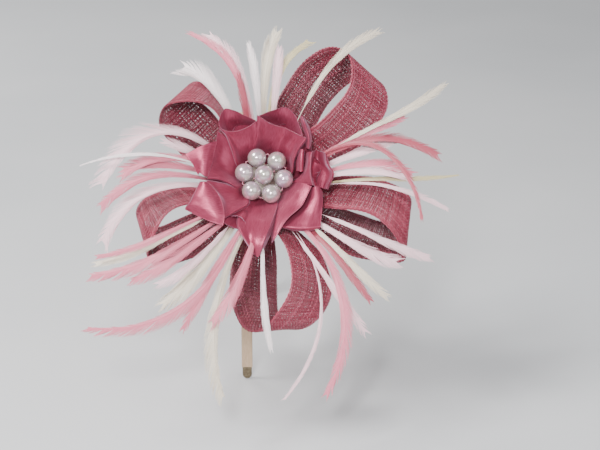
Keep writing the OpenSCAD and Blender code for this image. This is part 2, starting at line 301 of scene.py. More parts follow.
GLUE = add_noise(
    plain("glue", srgb(228, 218, 196), rough=0.25, specular=0.6),
    300, srgb(214, 202, 178), srgb(236, 228, 208), bump=0.2, bump_scale=900,
)
NET = add_noise(
    plain("net", srgb(214, 206, 192), rough=0.8),
    900, srgb(198, 188, 172), srgb(224, 216, 202), bump=0.5, bump_scale=1800,
)
THREAD = plain("thread", srgb(172, 112, 126), rough=0.7)
ROSE_THREAD = plain("rose_thread", srgb(186, 96, 114), rough=0.6)
STEEL = add_noise(
    plain("spring_steel", srgb(176, 176, 180), rough=0.3, metal=1.0),
    400, srgb(160, 160, 164), srgb(188, 188, 192), bump=0.1, bump_scale=1500,
)
PEARL = add_noise(
    plain("pearl", srgb(178, 160, 168), rough=0.26, specular=0.6, sheen=0.15, metal=0.45, coat=1.0),
    170, srgb(184, 154, 172), srgb(174, 170, 158),
)
PEARL.node_tree.nodes["Principled BSDF"].inputs["Coat IOR"].default_value = 1.9


# ---------- headband ----------

ARM_CX = (CROWN_R - ARM_R) * math.sin(CROWN_HALF)
ARM_CZ = (CROWN_R - ARM_R) * math.cos(CROWN_HALF)
ARM_END = CROWN_HALF + ARM_SWEEP
CAP_START = ARM_END - CAP_LEN / ARM_R


def band_path(angle):
    """Centre line of the band in mm and its outward direction, at an angle from the top to +X."""
    a = abs(angle)
    out = np.array([math.sin(a), 0, math.cos(a)])
    if a <= CROWN_HALF:
        p = (CROWN_R + BAND_T / 2) * out
    else:
        p = np.array([ARM_CX, 0, ARM_CZ]) + (ARM_R + BAND_T / 2) * out
    flip = np.array([math.copysign(1, angle), 1, 1])
    return p * flip, out * flip


def band_strip(b, angles, width, thick, corner):
    """A strip with soft edges along the band. width and thick take the share of the way along."""
    sides = 20
    turn = np.linspace(0, 2 * math.pi, sides, endpoint=False)
    cos, sin = np.cos(turn), np.sin(turn)
    across = np.sign(cos) * np.abs(cos) ** corner
    over = np.sign(sin) * np.abs(sin) ** corner
    rings, uv = [], []
    length = 0.0
    last = None
    for i, a in enumerate(angles):
        p, out = band_path(a)
        k = i / (len(angles) - 1)
        length += 0 if last is None else float(np.linalg.norm(p - last))
        last = p
        side = np.array([0, 1, 0])
        rings.append(p + np.outer(across, side) * width(k) / 2 + np.outer(over, out) * thick(k) / 2)
        uv.append(np.stack([np.full(sides, length), turn * 2.4], -1))
    b.add(rings, grid_quads(len(angles), sides, wrap=True), uv=np.array(uv))


def band_half(name, angles, hides):
    b = Builder()
    band_strip(b, angles, lambda k: 6.15, lambda k: 1.9, corner=0.5)
    obj = b.make(name, [BAND_SATIN], space=metres)
    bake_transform(obj)
    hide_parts(*hides)


def band_cap(name, side, body, node):
    def width(k):
        return 5.3 if k < 0.66 else 5.3 * math.sqrt(max(0.02, 1 - ((k - 0.66) / 0.34) ** 2))

    def thick(k):
        return 2.15 if k < 0.9 else 2.15 * math.sqrt(max(0.05, 1 - ((k - 0.9) / 0.1) ** 2))

    b = Builder()
    lip = CAP_START - 0.4 / ARM_R
    angles = [side * a for a in np.linspace(lip, ARM_END, 40)]
    band_strip(b, angles, width, thick, corner=0.6)
    obj = b.make(name, [CAP], space=metres)
    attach(obj, body)
    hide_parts(node)


seam = PAD_ANGLE
left = np.linspace(seam, CAP_START, 150)
right = np.linspace(seam, -CAP_START, 300)
band_half("band_cover_left", left, ["cover_crown", "cover_left"])
band_half("band_cover_right", right, ["cover_right"])
band_cap("band_cap_left", 1, "left_arm", "tip_cap_left")
band_cap("band_cap_right", -1, "right_arm", "tip_cap_right")


# ---------- woven straw ----------

LOOP_ROOT_W = 8.6  # height at which a loop leaves the bundle of tails
LAYER_SHIFT = 0.24  # how far each layer of the folded strip lies from its middle


def weave(b, surface, length, width, shift=0.0, warp=1.08, weft=1.12, thread=0.78, hem=1.0):
    """Over and under threads on surface(u, v), which takes mm along and across a strip.

    Threads along the strip lie closer at its two edges, where the cloth is folded over. shift
    moves the layer off the surface, for the two layers of a folded strip.
    """
    n_u = int(length / weft)
    edge = np.arange(0, hem * 2.2, warp * 0.5)
    inner = np.arange(hem * 2.2, width - hem * 2.2, warp)
    v = np.concatenate([edge, inner, width - edge[::-1]]) - width / 2
    u = np.linspace(0, length, n_u)
    v = v + rng.normal(0, 0.07, len(v))
    u = u + rng.normal(0, 0.09, n_u)
    uu, vv = np.meshgrid(u, v, indexing="ij")
    vv = vv + 0.16 * np.sin(uu * 0.21 + vv * 3.1) + rng.normal(0, 0.05, uu.shape)
    uu = uu + 0.18 * np.sin(vv * 0.33 + uu * 2.3) + rng.normal(0, 0.05, uu.shape)
    p = surface(uu, vv)
    du, dv = np.gradient(p, axis=0), np.gradient(p, axis=1)
    normal = unit(np.cross(du, dv))
    p = p + shift * normal
    check = ((np.arange(n_u)[:, None] + np.arange(len(v))[None, :]) % 2) * 2 - 1
    turn = np.radians([90, 210, 330])
    cos, sin = np.cos(turn), np.sin(turn)

    def threads(base, along, lift, tone):
        side = unit(np.cross(normal, along))
        width_here = thread * (0.5 + 0.12 * rng.normal(size=(1, base.shape[1])).clip(-1.5, 1.5))
        ring = base + normal * lift[..., None] * thread * 0.22
        pts = ring[:, :, None] + width_here[:, :, None, None] * (
            cos[None, None, :, None] * side[:, :, None] + 0.22 * sin[None, None, :, None] * normal[:, :, None]
        )
        pts[[0, -1]] = pts[[0, -1]].mean(2, keepdims=True)
        rows, cols = base.shape[:2]
        for j in range(cols):
            b.add(pts[:, j], grid_quads(rows, 3, wrap=True), int(tone[j]))

    tones_u = rng.choice([0, 0, 0, 1, 1, 2], size=len(v))
    tones_v = rng.choice([0, 0, 0, 1, 2], size=n_u)
    threads(p, unit(du), check, tones_u)
    normal = normal.transpose(1, 0, 2)
    threads(p.transpose(1, 0, 2), unit(dv).transpose(1, 0, 2), -check.T, tones_v)


def straw_loop(name, angle, reach, width, h, tilt_deg, mid_w, skew=0.0):
    """A strip folded into a teardrop and gathered at its root.

    h is half the depth of its hollow. mid_w is its height h short of the outer end.
    tilt_deg is for its front band, its outer end and its back band. skew is how far one edge of
    the outer end stands out beyond the other, as a share of the width.
    """
    angle = math.radians(angle)
    run = reach - TAILS_R
    climb = math.atan((mid_w - LOOP_ROOT_W) / (run - h))
    radial = np.array([math.cos(angle), math.sin(angle), 0])
    tangent = np.array([-math.sin(angle), math.cos(angle), 0])
    up = np.array([0, 0, 1.0])
    along = math.cos(climb) * radial + math.sin(climb) * up
    above = np.cross(tangent, along)
    above = above if above[2] > 0 else -above
    long = run / math.cos(climb)
    a, b_ = long / 0.75, h / 0.2887
    t = np.linspace(0, 1, 400)
    f1, f2 = 3 * (1 - t) ** 2 * t, 3 * (1 - t) * t**2
    x, y = (f1 + f2) * a, (f2 - f1) * b_
    s = np.concatenate([[0], np.cumsum(np.hypot(np.diff(x), np.diff(y)))])
    length = s[-1]

    def surface(u, v):
        ax, ay = np.interp(u, s, x), np.interp(u, s, y)
        share = np.clip(ax / 30, 0, 1) ** 0.8
        wide = 0.26 + 0.74 * share * share * (3 - 2 * share)
        pleat = (1 - share) * 1.5 * np.sin(v / width * 6 * math.pi + 1.3)
        ripple = 0.35 * np.sin(u * 0.11 + v * 0.19) + 0.25 * np.sin(u * 0.27 - v * 0.13)
        bell = 0.8 * (2 * v / width) ** 2 * share
        behind = 0.5 - 0.5 * np.clip(ay / h, -1, 1)
        front, end, back = tilt_deg
        out_end = 4 * behind * (1 - behind) * np.clip(ax / long, 0, 1) ** 3
        tilt = front + (back - front) * behind
        tilt = np.radians(tilt + (end - tilt) * out_end)
        open_ = -np.sin(tilt)[..., None] * tangent + np.cos(tilt)[..., None] * above
        across = -np.cos(tilt)[..., None] * tangent - np.sin(tilt)[..., None] * above
        out = np.sign(ay) * np.clip(np.abs(ay) / h, 0, 1)
        yy = ay + pleat * np.where(ay >= 0, 1, -1) + ripple * share + bell * out
        start = TAILS_R * radial + LOOP_ROOT_W * up
        ax = ax + skew * v * np.clip(ax / long, 0, 1) ** 2
        return start + ax[..., None] * along + yy[..., None] * open_ + (v * wide)[..., None] * across

    b = Builder()
    for shift in (-LAYER_SHIFT, LAYER_SHIFT):
        weave(b, surface, length, width, shift)
    obj = b.make(name, STRAW)
    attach(obj, "crown")
    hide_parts(name.replace("straw_", ""))


straw_loop("straw_loop_top_front", 133, 67, 32, 12, (65, 44, 20), 20.5)
straw_loop("straw_loop_top_back", 49, 83, 35, 19.5, (56, 52, 55), 22.5)
straw_loop("straw_loop_back", -20, 81, 36, 13, (-42, -18, -38), 22.5, skew=0.26)
straw_loop("straw_loop_bottom", -82, 81, 35, 19.5, (-53, -40, -46), 22.5, skew=0.28)
straw_loop("straw_loop_front", 204, 71, 34, 12.5, (55, 30, 36), 21.5, skew=-0.3)


# ---------- feathers ----------

QUILL_HEIGHT = 13.6
RISE = 36.0
LAYER_STEP = 1.3
ROOT_R = 9.0
BARB_PITCH = 0.17
BARB_STEPS = 6


def fan_w(r):
    """Height over the pad of the lowest layer of feathers, at r from the middle."""
    return QUILL_HEIGHT + RISE * (1 - np.maximum(0, 1 - np.maximum(0, r - 12) / 52) ** 1.7)


def quill_point(f, t):
    """The quill of feather row f at t from root to tip."""
    r = ROOT_R + (f[3] - ROOT_R) * t
    a = np.radians(f[0] * (1 - t) * (1 - 2 * t) + f[1] * 4 * t * (1 - t) + f[2] * t * (2 * t - 1))
    w = fan_w(r) + f[5] * LAYER_STEP - f[6] * t**4 + 0.25
    return np.stack([r * np.cos(a), r * np.sin(a), w], -1)


def feather(name, f, tone, node, splay=0.5, bare=0.14, comb=0.0):
    """One hackle feather: a tapering quill with separate barbs, combed forward into points.

    splay opens the barbs towards the tip. comb makes them longer on one side: 1 is the side
    clockwise from the feather's way out, and -1 is the other.
    """
    b = Builder()
    t = np.linspace(0, 1, 70)
    path = quill_point(f, t)
    length = float(np.sum(np.linalg.norm(np.diff(path, axis=0), axis=1)))
    tube(b, path, 0.26 * (1 - t) ** 0.8 + 0.04, mat=2)
    count = int(length / BARB_PITCH)
    roll = rng.uniform(-0.3, 0.3)
    s = np.linspace(0, 1, BARB_STEPS)
    for side in (-1, 1):
        k = np.linspace(bare, 0.998, count)
        q = quill_point(f, k)
        tan = unit(quill_point(f, np.minimum(k + 0.01, 1)) - quill_point(f, k - 0.01))
        flat = unit(np.cross(tan, [0, 0, 1]))
        up = unit(np.cross(flat, tan))
        normal = flat * math.cos(roll) * side + up * (math.sin(roll) * side - 0.1)
        grow = np.clip((k - bare - 0.08) / 0.5, 0, 1)
        tip = np.clip((k - 0.5) / 0.5, 0, 1)
        longer = 1 + 0.75 * comb * side * tip
        half = f[4] / 2 * (0.4 + 0.72 * grow * grow * (3 - 2 * grow)) * np.clip((k - bare) / 0.04, 0, 1)
        half = half * (1 + 0.35 * splay * tip) * longer * (1 - max(0.8 - 0.25 * splay, 0.15) * tip**2)
        angle = 0.2 + 0.04 * grow + (0.2 * splay * (1 + 0.4 * comb * side) - 0.08) * tip**2
        reach = np.minimum(half / np.sin(angle), 15 + 4 * splay) * (1 - 0.2 * tip**2)
        reach = reach * (1 + 0.08 * rng.normal(size=count))
        sizes = rng.integers(6, 22, size=count)
        group = np.searchsorted(np.cumsum(sizes), np.arange(count), side="right")
        stray = rng.normal(0, 1, count)[group]
        angle = angle * (1 + (0.04 + 0.16 * tip * tip) * stray) + rng.normal(0, 0.012, count)
        end = q + reach[:, None] * (np.cos(angle)[:, None] * tan + np.sin(angle)[:, None] * normal)
        end = end + (stray * 0.05 * reach * (0.2 + tip) - 0.03 * reach)[:, None] * up
        total = np.zeros((group.max() + 1, 3))
        np.add.at(total, group, end)
        mean = (total / np.bincount(group)[:, None])[group]
        pull = (0.04 + 0.4 * tip**1.5)[:, None]
        end = end + (mean - end) * pull
        start = angle + 0.06 + 0.16 * splay * tip * tip
        knee = q + 0.5 * reach[:, None] * (np.cos(start)[:, None] * tan + np.sin(start)[:, None] * normal)
        a, c, d = (1 - s) ** 2, 2 * s * (1 - s), s**2
        line = sum(share[None, :, None] * at[:, None] for share, at in ((a, q), (c, knee), (d, end)))
        wide = (0.13 - 0.10 * s)[None, :] * (0.85 + 0.3 * rng.random(count))[:, None]
        cross = unit(tan * 0.5 + normal)[:, None] * 0.35 - tan[:, None] * 0.9
        pts = np.stack([line - wide[..., None] * cross, line + wide[..., None] * cross], 2)
        tones = np.where(rng.random(count) < 0.7, stray > 0.3, 2).astype(int)
        base = np.arange(count)[:, None] * 2 * BARB_STEPS + np.arange(BARB_STEPS - 1)[None, :] * 2
        quads = np.stack([base, base + 1, base + 3, base + 2], -1).reshape(-1, 4)
        b.add(pts, quads, np.repeat(tones, BARB_STEPS - 1))
    obj = b.make(name, FEATHER[tone])
    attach(obj, "crown")
    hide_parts(node)


# Each feather is [root, middle and tip directions, reach, vane width, layer, tip drop], then its
# tone, and its splay and comb where they differ from the usual.
BUNCHES = {
    "feathers_top": [
        ([93, 94, 96, 69, 4.5, 1, 3], "white", {"splay": 0.3}),
        ([89, 89, 84, 76, 6, 0, 3], "ivory", {"splay": 0.9}),
        ([85, 83, 71, 74, 4, 2, 4], "olive", {"splay": 1.8, "comb": 0.9}),
        ([80, 81, 82, 65, 5, 3, 2], "pale", {"splay": 0.3}),
    ],
    "feathers_top_front": [
        ([104, 104, 117, 85, 4.5, 1, 5], "mid", {"splay": 0.3}),
        ([100, 102, 110, 80, 6, 0, 5], "pale", {"splay": 1.0, "comb": -0.6}),
        ([118, 118, 126, 70, 7, 0, 3], "white", {"splay": 2.0, "comb": -0.5}),
        ([109, 106, 104, 52, 4, 2, 0], "dusky", {"splay": 0.3}),
    ],
    "feathers_top_back": [([56, 58, 51, 100, 6, 0, 9], "ivory", {"splay": 0.6, "bare": 0.34})],
    "feathers_back_upper": [
        ([18, 20, 26, 108, 5.5, 1, 10], "ivory", {"splay": 0.5, "bare": 0.34}),
        ([13, 15, 4, 91, 5, 2, 5], "dusky", {"splay": 1.6, "comb": 0.5}),
        ([9, 15, -21, 86, 3, 3, 0], "dusky", {"splay": 0.8}),
        ([7, 9, 12, 70, 6, 0, 2], "pale", {"splay": 0.8}),
        ([22, 19, 20, 79, 4, 0, 3], "mid", {"splay": 0.8}),
    ],
    "feathers_back": [
        ([0, 2, -3, 77, 5, 1, 4], "mid", {"splay": 1.4}),
        ([-5, -3, -5, 76, 4.5, 2, 4], "pale", {"splay": 1.2}),
        ([-9, -7, -2, 102, 3, 0, 8], "olive", {"splay": 0.2}),
        ([-13, -10, -13, 98, 3, 1, 10], "pale", {"splay": 1.0, "bare": 0.34}),
    ],
    "feathers_low_back": [
        ([-40, -36, -29, 97, 5, 0, 10], "pale", {"splay": 1.0, "comb": 0.5, "bare": 0.34}),
        ([-45, -45, -37, 84, 7, 1, 6], "pale", {"splay": 1.2, "bare": 0.34}),
        ([-50, -51, -48, 92, 5.5, 2, 9], "ivory", {"splay": 0.7, "bare": 0.34}),
        ([-54, -53, -53, 88, 4.5, 0, 7], "dusky", {"splay": 0.8}),
    ],
    "feathers_bottom_back": [
        ([-69, -64, -60, 100, 5, 1, 9], "pale", {"splay": 1.2, "bare": 0.34}),
        ([-61, -59, -76, 122, 5.5, 3, 14], "mid", {"splay": 1.0}),
        ([-65, -66, -86, 120, 2.5, 0, 16], "pale", {"splay": 1.0, "comb": 0.8, "bare": 0.34}),
    ],
    "feathers_bottom": [
        ([-91, -92, -89, 95, 5, 1, 8], "white", {"splay": 0.2, "bare": 0.34}),
        ([-98, -101, -109, 86, 5.5, 2, 3], "mid", {"splay": 1.4, "comb": -0.5}),
    ],
    "feathers_bottom_front": [
        ([-106, -110, -101, 120, 5.5, 0, 14], "ivory", {"splay": 1.3, "comb": 0.9}),
        ([-116, -115, -138, 123, 5, 3, 12], "mid", {"splay": 0.9, "comb": -0.9}),
        ([-112, -115, -117, 94, 5, 1, 8], "mid", {"splay": 0.9}),
    ],
    "feathers_low_front": [
        ([-128, -124, -132, 82, 6, 1, 5], "pale", {"splay": 0.6, "bare": 0.34}),
        ([-123, -121, -127, 88, 8, 0, 8], "ivory", {"splay": 0.8}),
        ([-128, -131, -140, 90, 5.5, 2, 9], "mid", {"splay": 1.0, "comb": -0.4}),
    ],
    "feathers_front_low": [
        ([-141, -143, -151, 100, 5.5, 0, 9], "ivory", {"splay": 0.6, "bare": 0.34}),
        ([-135, -137, -149, 105, 5, 1, 12], "mid", {"splay": 1.4, "comb": -0.5}),
        ([-142, -144, -152, 98, 3, 2, 7], "mid", {"splay": 1.2}),
    ],
    "feathers_front_lower": [
        ([186, 183, 192, 87, 5, 1, 7], "mid", {"splay": 1.4, "comb": -0.5}),
        ([192, 190, 203, 92, 7, 0, 10], "pale", {"splay": 1.6, "comb": -0.5}),
    ],
    "feathers_front": [
        ([169, 171, 183, 74, 5, 2, 5], "mid", {"splay": 0.9}),
        ([176, 176, 179, 73, 6, 0, 4], "mid", {"splay": 0.9}),
        ([173, 173, 178, 96, 2, 3, 9], "white", {"splay": 0.2}),
    ],
    "feathers_front_upper": [
        ([154, 155, 184, 85, 7, 1, 9], "pale", {"splay": 1.5, "comb": 0.6}),
        ([161, 162, 164, 54, 5, 0, 0], "pale", {"splay": 0.6}),
    ],
}
for node, rows in BUNCHES.items():
    for i, (f, tone, looks) in enumerate(rows):
        feather(f"{node}_{i + 1}", f, tone, node, **looks)


# ---------- pearls ----------

PEARL_R = 5.0
PEARL_RING_R = 10.6
PEARL_RING_W = 33.0
PEARL_CENTRE_W = 35.0
HOLE_R = 0.42


def pearl(name, centre, hole):
    """A drilled bead on pad coordinates, with its hole along a direction in degrees."""
    turn = np.linspace(math.radians(6), math.radians(174), 40)
    a = math.radians(hole)
    axis = np.array([math.cos(a), math.sin(a), 0])
    side = np.array([-math.sin(a), math.cos(a), 0])
    up = np.array([0, 0, 1.0])
    around = np.linspace(0, 2 * math.pi, 56, endpoint=False)
    spin = np.cos(around)[:, None] * side + np.sin(around)[:, None] * up
    rings = [centre + PEARL_R * (axis * math.cos(t) + spin * math.sin(t)) for t in turn]
    inner = [centre + axis * s * (PEARL_R - 0.8) + spin * HOLE_R for s in (1, -1)]
    b = Builder()
    b.add([inner[0], *rings, inner[1]], grid_quads(len(turn) + 2, len(around), wrap=True))
    obj = b.make(name, [PEARL])
    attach(obj, "crown")
    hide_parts(name.replace("bead_", "pearl_"))


pearl("bead_centre", np.array([0, 0, PEARL_CENTRE_W]), 20)
for i in range(6):
    at = 50 + 60 * i
    a = math.radians(at)
    ring_place = np.array([PEARL_RING_R * math.cos(a), PEARL_RING_R * math.sin(a), PEARL_RING_W])
    pearl(f"bead_{i + 1}", ring_place, at + 90)


# ---------- ribbon rose ----------

LEAN = math.radians(15)
RIBBON_T = 0.22


def leaning(v):
    """The petals' first two numbers lie on a plane that leans 15 degrees to the pad, through the
    pearls. The third is the height above the pearls, straight out from the pad."""
    v = np.asarray(v, float)
    y = v[..., 1] / math.cos(LEAN) - v[..., 2] * math.tan(LEAN)
    return np.stack([v[..., 0], y, PEARL_RING_W + v[..., 2]], -1)


def patch(rows, steps=14):
    """A smooth surface through a grid of points."""
    rows = np.asarray(rows, float)
    along = np.stack([spline(rows[:, j], steps) for j in range(rows.shape[1])], 1)
    return np.stack([spline(along[i], steps) for i in range(len(along))])


def cloth(b, grid):
    """Ribbon of even thickness, softly pleated, with closed edges. UVs are mm along and across."""
    n = unit(np.cross(np.gradient(grid, axis=0), np.gradient(grid, axis=1)))
    rows, cols = grid.shape[:2]
    u = np.concatenate([[0], np.cumsum(np.linalg.norm(np.diff(grid[:, cols // 2], axis=0), axis=1))])
    v = np.concatenate([[0], np.cumsum(np.linalg.norm(np.diff(grid[rows // 2], axis=0), axis=1))])
    uv = np.stack(np.meshgrid(u, v, indexing="ij"), -1)
    fold = 0.1 * np.sin(v * 0.75 + u[:, None] * 0.1 + 1) * np.sin(np.pi * v / v[-1])
    grid = grid + n * fold[..., None]
    top, under = grid + n * RIBBON_T / 2, grid - n * RIBBON_T / 2
    total = rows * cols
    quads = grid_quads(rows, cols)
    index = np.arange(total).reshape(rows, cols)
    rim = []
    for line, flip in ((index[:, 0], 1), (index[:, -1], 0), (index[0], 0), (index[-1], 1)):
        a, c = line[:-1], line[1:]
        q = np.stack([a, c, c + total, a + total], -1)
        rim.append(q if flip else q[:, ::-1])
    pts = np.concatenate([top.reshape(-1, 3), under.reshape(-1, 3)])
    uvs = np.concatenate([uv.reshape(-1, 2)] * 2)
    b.add(pts, np.concatenate([quads[:, ::-1], quads + total, *rim]), uv=uvs)


def selvedge(b, line, picot):
    """The ribbon's woven edge: a fine cord, with tiny loops where it is a picot edge."""
    path = spline(line, 60)
    s = np.concatenate([[0], np.cumsum(np.linalg.norm(np.diff(path, axis=0), axis=1))])
    even = np.arange(0, s[-1], 0.14)
    path = np.stack([np.interp(even, s, path[:, i]) for i in range(3)], 1)
    radius = 0.13 + (0.17 * np.maximum(0, np.sin(even * 2 * math.pi / 0.95)) if picot else 0 * even)
    tube(b, path, radius, mat=1)


